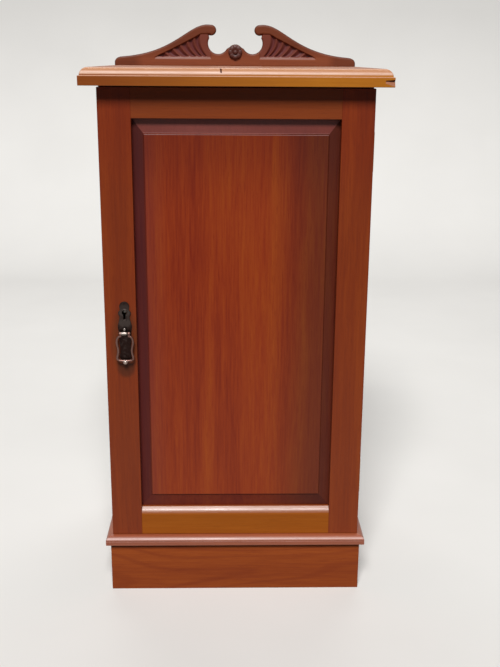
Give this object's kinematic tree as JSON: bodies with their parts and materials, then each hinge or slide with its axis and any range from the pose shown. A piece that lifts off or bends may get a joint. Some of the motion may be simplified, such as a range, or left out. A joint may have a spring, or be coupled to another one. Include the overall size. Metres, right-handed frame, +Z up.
{
  "type": "bedside pot cupboard",
  "caption": "Tall narrow bedside cupboard with a panelled door on a plinth, a moulded top with a carved swan-neck gallery, a drop handle and a lock.",
  "frame": {"origin": "on the floor under the centre of the top's footprint", "axes": "+Z up, the door faces -Y, +X is the hinge side"},
  "size_m": [0.39, 0.32, 0.789],
  "materials": {
    "polished_mahogany": "french polished, worn",
    "panel_mahogany": "french polished",
    "top_mahogany": "polished, faded and worn",
    "carved_mahogany": "carved and polished",
    "plain_wood": "planed, unpolished",
    "hinge_brass": "aged",
    "dark_bronze": "dark patina, rubbed on the edges",
    "steel": "dull"
  },
  "bodies": {
    "case": {"top_board": "top_mahogany", "gallery_board": "carved_mahogany", "gallery_boss": "carved_mahogany", "side_left": "polished_mahogany", "side_right": "polished_mahogany", "base_board": "polished_mahogany", "plinth_front": "polished_mahogany", "plinth_left": "polished_mahogany", "plinth_right": "polished_mahogany", "moulding_front": "polished_mahogany", "moulding_left": "polished_mahogany", "moulding_right": "polished_mahogany", "gallery_dowels": "plain_wood", "top_rail_front": "plain_wood", "top_rail_back": "plain_wood", "shelf": "plain_wood", "back_board_left": "plain_wood", "back_board_middle": "plain_wood", "back_board_right": "plain_wood", "plinth_back": "plain_wood", "plinth_corner_blocks": "plain_wood", "hinge_leaf_top_fixed": "hinge_brass", "hinge_leaf_bottom_fixed": "hinge_brass", "hinge_screws_fixed": "hinge_brass", "lock_keep": "hinge_brass", "keep_screws": "hinge_brass", "top_screws": "steel", "base_screws": "steel", "back_nails": "steel", "plinth_screws": "steel"},
    "door": {"door_stile_lock": "polished_mahogany", "door_stile_hinge": "polished_mahogany", "door_rail_top": "polished_mahogany", "door_rail_bottom": "polished_mahogany", "door_panel": "panel_mahogany", "hinge_leaf_top_door": "hinge_brass", "hinge_leaf_bottom_door": "hinge_brass", "hinge_screws_door": "hinge_brass", "lock_case": "hinge_brass", "lock_plate": "hinge_brass", "lock_ward": "hinge_brass", "lock_screws": "hinge_brass", "handle_nut": "hinge_brass", "hinge_pin_top": "steel", "hinge_pin_bottom": "steel", "lock_key_pin": "steel", "handle_plate": "dark_bronze", "handle_plate_pins": "dark_bronze", "handle_post": "dark_bronze", "handle_pivot_pin": "dark_bronze"},
    "drop_handle": {"drop_pull": "dark_bronze"},
    "bolt": {"lock_bolt": "hinge_brass", "lock_bolt_spring": "steel"}
  },
  "joints": [
    {"name": "door_swing", "type": "hinge", "parent": "case", "child": "door", "pos_m": [0.1758, -0.11975, 0.39615], "axis": [0, 0, 1], "range_deg": [0, 180]},
    {"name": "handle_lift", "type": "hinge", "parent": "door", "child": "drop_handle", "pos_m": [-0.1485, -0.147, 0.3875], "axis": [-1, 0, 0], "range_deg": [0, 180]},
    {"name": "bolt_throw", "type": "slide", "parent": "door", "child": "bolt", "axis": [-1, 0, 0], "range_m": [0, 0.005]}
  ]
}
